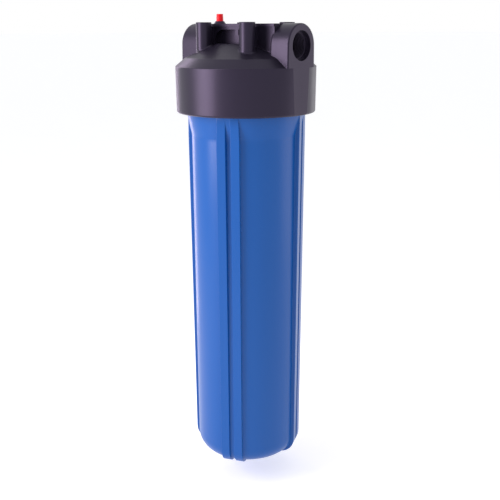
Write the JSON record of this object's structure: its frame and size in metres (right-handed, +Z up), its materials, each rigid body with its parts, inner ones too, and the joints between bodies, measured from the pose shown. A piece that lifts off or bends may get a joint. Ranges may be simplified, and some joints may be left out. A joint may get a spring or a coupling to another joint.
{
  "type": "cartridge filter housing",
  "caption": "Tall water filter housing: black moulded head with two in-line threaded ports, relief button and bracket posts, on a long ribbed blue screw-on bowl around a pleated cartridge.",
  "frame": {"origin": "centre of the underside of the bowl, on the housing's axis", "axes": "+Z up along the housing's axis, X through the two ports with the inlet at -X and the outlet at +X, -Y the front"},
  "size_m": [0.181, 0.184, 0.6117],
  "materials": {
    "black_polypropylene": "moulded, satin",
    "blue_polypropylene": "moulded, satin",
    "red_plastic": "moulded, gloss",
    "black_rubber": "moulded",
    "stainless_steel": "turned",
    "white_polypropylene": "moulded, satin",
    "filter_fabric": "spun-bonded polyester",
    "net_plastic": "extruded net"
  },
  "bodies": {
    "head": {"head_dome": "black_polypropylene", "head_bar": "black_polypropylene", "head_skirt": "black_polypropylene", "head_spigot": "black_polypropylene", "head_inlet_boss": "black_polypropylene", "head_outlet_boss": "black_polypropylene", "relief_bushing": "black_polypropylene", "relief_bushing_seal": "black_rubber", "relief_spring": "stainless_steel"},
    "relief_valve": {"relief_button": "red_plastic", "relief_stem": "stainless_steel", "relief_valve_seal": "black_rubber"},
    "cartridge": {"filter_media": "filter_fabric", "filter_core": "white_polypropylene", "filter_outer_net": "net_plastic", "filter_top_cap": "white_polypropylene", "filter_bottom_cap": "white_polypropylene", "filter_top_gasket": "black_rubber", "filter_bottom_gasket": "black_rubber"},
    "sump": {"sump": "blue_polypropylene", "sump_seal_ring": "black_rubber"}
  },
  "joints": [
    {"name": "relief_press", "type": "slide", "parent": "head", "child": "relief_valve", "axis": [0, 0, -1], "range_m": [0, 0.003], "stiffness_N_per_m": 400, "springref_m": -0.002, "deforming": ["relief_spring"]},
    {"name": "sump_drop", "type": "slide", "parent": "head", "child": "cartridge", "axis": [0, 0, -1], "range_m": [0, 0.0402]},
    {"name": "sump_unscrew", "type": "hinge", "parent": "cartridge", "child": "sump", "pos_m": [0, 0, 0.52], "axis": [0, 0, -1], "range_deg": [0, 1800]}
  ],
  "couplings": [
    {"joint": "sump_drop", "follows": "sump_unscrew", "m_per_rad": 0.0012732}
  ]
}
